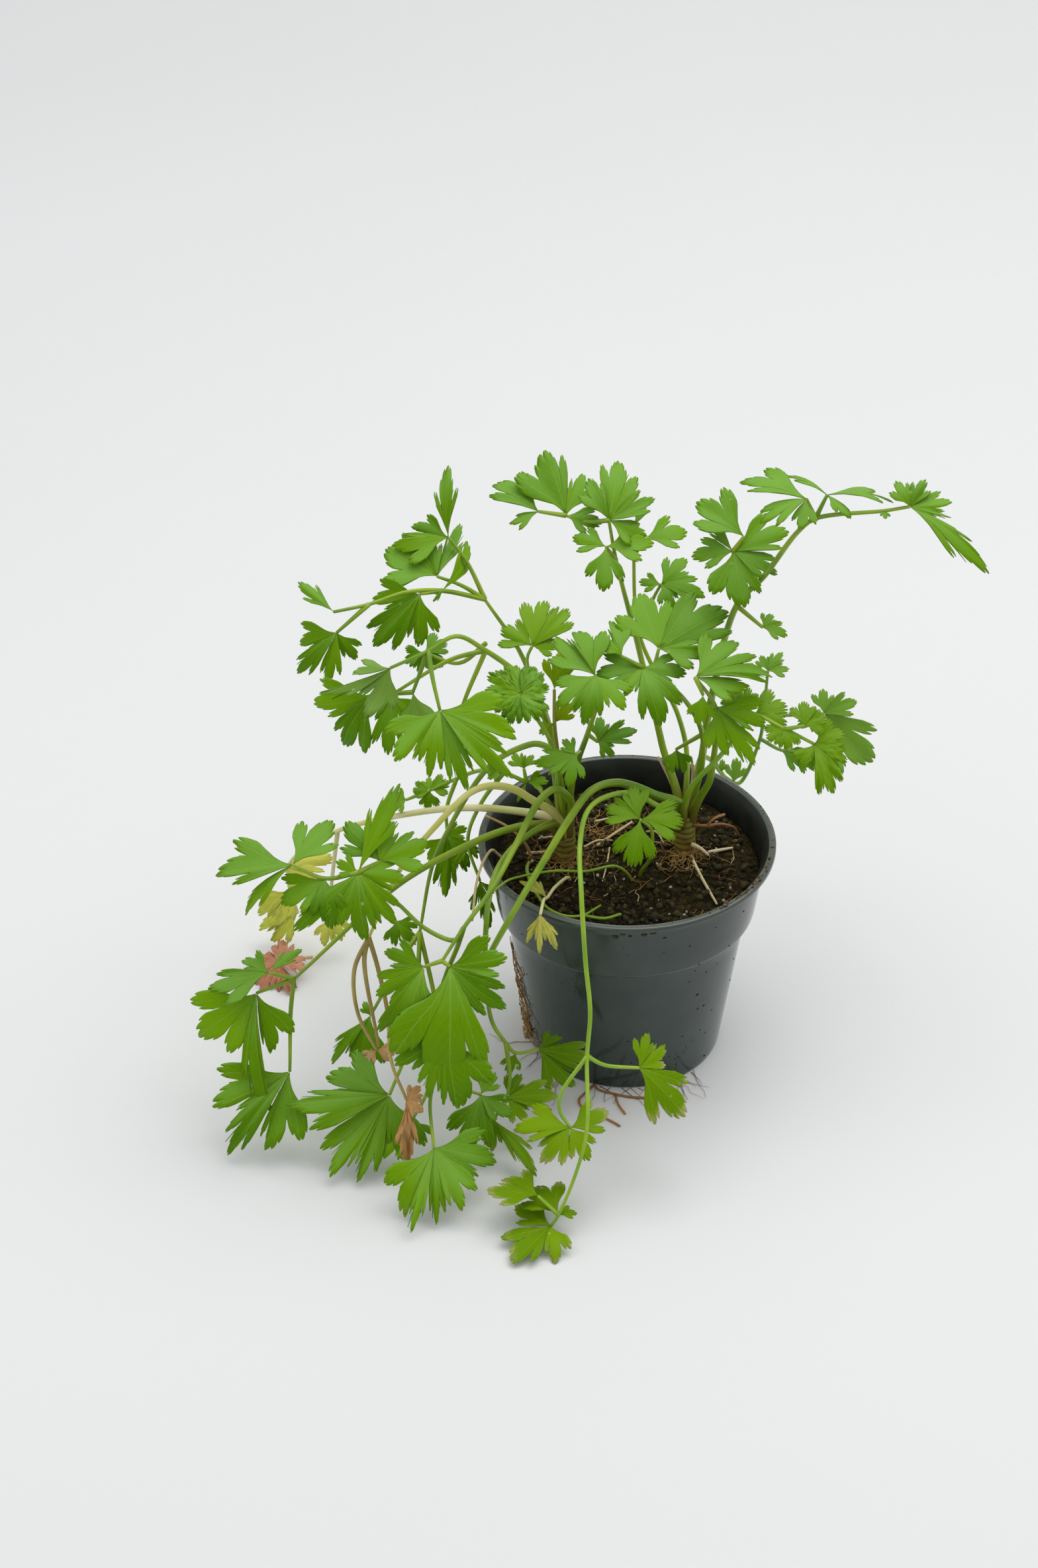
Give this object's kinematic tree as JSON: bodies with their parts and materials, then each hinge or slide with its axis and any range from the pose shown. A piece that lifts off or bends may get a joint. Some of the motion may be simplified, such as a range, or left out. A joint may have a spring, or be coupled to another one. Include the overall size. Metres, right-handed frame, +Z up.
{
  "type": "potted herb",
  "caption": "Flat-leaved potted herb in a dark plastic nursery pot: arching and trailing stems with toothed leaflets, yellowing and dried leaves, bare ringed crowns in dark soil",
  "frame": {"origin": "centre of the pot's underside, on the surface it stands on", "axes": "+X to the right and +Y away as the picture sees it, +Z up out of the pot"},
  "size_m": [0.3042, 0.2341, 0.2581],
  "materials": {
    "pot_plastic": "satin",
    "potting_soil": "matte",
    "stem_base": "matte",
    "leaf_green": "satin",
    "leaf_bright": "satin",
    "leaf_bluish": "satin",
    "leaf_yellow": "satin",
    "leaf_pale": "matte",
    "dry_leaf": "matte",
    "straw": "matte",
    "root_brown": "matte"
  },
  "bodies": {
    "root": {"pot": "pot_plastic", "soil": "potting_soil", "crown_left": "stem_base", "crown_right": "stem_base", "stem_high_left": "leaf_green", "stem_arch_left": "leaf_green", "stem_top": "leaf_green", "stem_slender": "leaf_green", "stem_arch_right": "leaf_green", "stem_middle": "leaf_green", "stem_inner_left": "leaf_green", "stem_curly": "leaf_green", "stem_right": "leaf_green", "stem_front_big": "leaf_green", "stem_front_long": "leaf_green", "stem_trail_left": "leaf_green", "stem_trail_deep": "leaf_green", "stem_floor": "leaf_green", "stem_bright": "leaf_bright", "stem_rim_left": "leaf_bright", "stem_right_small": "leaf_bright", "stem_front_thin": "leaf_bright", "sprout_bright": "leaf_bright", "sprout_arc": "leaf_bright", "sprout_thread": "leaf_bright", "stem_behind": "leaf_bluish", "stem_yellowing": "leaf_yellow", "stem_pale": "leaf_pale", "sprout_withered": "leaf_pale", "stem_dry": "dry_leaf", "stalk_pink": "dry_leaf", "dried_leaf": "dry_leaf", "stub_left": "straw", "husk_right": "straw", "straw_upper": "straw", "straw_flat": "straw", "straw_front": "straw", "wisp_left": "straw", "root_orange": "root_brown", "root_left": "root_brown", "root_front": "root_brown"}
  },
  "joints": []
}
